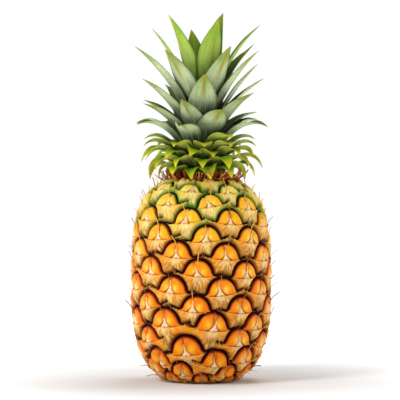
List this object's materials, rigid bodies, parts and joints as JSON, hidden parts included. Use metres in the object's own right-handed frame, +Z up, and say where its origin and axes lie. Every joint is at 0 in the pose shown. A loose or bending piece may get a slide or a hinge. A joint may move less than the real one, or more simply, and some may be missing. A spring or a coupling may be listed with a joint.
{
  "type": "pineapple",
  "caption": "Whole ripe pineapple with a leafy crown, standing upright on the flat spot at its base.",
  "frame": {"origin": "centre of the flat resting spot at the fruit's base, on the surface it stands on", "axes": "+Z up along the fruit's middle line towards the crown; -Y is the front, +X is to the right seen from the front"},
  "size_m": [0.1212, 0.1214, 0.318],
  "materials": {
    "fruit_skin": "satin",
    "stem_tissue": "matte",
    "collar_leaf": "satin",
    "old_leaf": "satin",
    "crown_leaf": "satin",
    "young_leaf": "satin"
  },
  "bodies": {
    "root": {"crown_stem": "stem_tissue", "fruit_body": "fruit_skin", "leaf_arching_inner_1": "crown_leaf", "leaf_arching_inner_2": "crown_leaf", "leaf_arching_inner_3": "crown_leaf", "leaf_arching_inner_4": "crown_leaf", "leaf_arching_outer_1": "crown_leaf", "leaf_arching_outer_2": "crown_leaf", "leaf_arching_outer_3": "crown_leaf", "leaf_arching_outer_4": "crown_leaf", "leaf_collar": "collar_leaf", "leaf_heart_inner_1": "young_leaf", "leaf_heart_inner_2": "young_leaf", "leaf_heart_inner_3": "young_leaf", "leaf_heart_outer_1": "young_leaf", "leaf_heart_outer_2": "young_leaf", "leaf_heart_outer_3": "young_leaf", "leaf_middle_inner_1": "crown_leaf", "leaf_middle_inner_2": "crown_leaf", "leaf_middle_inner_3": "crown_leaf", "leaf_middle_outer_1": "crown_leaf", "leaf_middle_outer_2": "crown_leaf", "leaf_middle_outer_3": "crown_leaf", "leaf_middle_outer_4": "crown_leaf", "leaf_recurved_inner_1": "old_leaf", "leaf_recurved_inner_2": "old_leaf", "leaf_recurved_inner_3": "old_leaf", "leaf_recurved_inner_4": "old_leaf", "leaf_recurved_outer_1": "old_leaf", "leaf_recurved_outer_2": "old_leaf", "leaf_recurved_outer_3": "old_leaf", "leaf_recurved_outer_4": "old_leaf", "leaf_recurved_outer_5": "old_leaf", "leaf_recurved_outer_6": "old_leaf", "leaf_recurved_outer_7": "old_leaf", "leaf_recurved_outer_8": "old_leaf", "leaf_spreading_inner_1": "crown_leaf", "leaf_spreading_inner_2": "crown_leaf", "leaf_spreading_inner_3": "crown_leaf", "leaf_spreading_inner_4": "crown_leaf", "leaf_spreading_outer_1": "crown_leaf", "leaf_spreading_outer_2": "crown_leaf", "leaf_spreading_outer_3": "crown_leaf", "leaf_spreading_outer_4": "crown_leaf", "leaf_upper_inner_1": "crown_leaf", "leaf_upper_inner_2": "crown_leaf", "leaf_upper_inner_3": "crown_leaf", "leaf_upper_inner_4": "crown_leaf", "leaf_upper_outer_1": "crown_leaf", "leaf_upper_outer_2": "crown_leaf", "leaf_upper_outer_3": "crown_leaf", "leaf_upper_outer_4": "crown_leaf", "leaf_whorl_lower": "old_leaf", "leaf_whorl_upper": "old_leaf"}
  },
  "joints": []
}
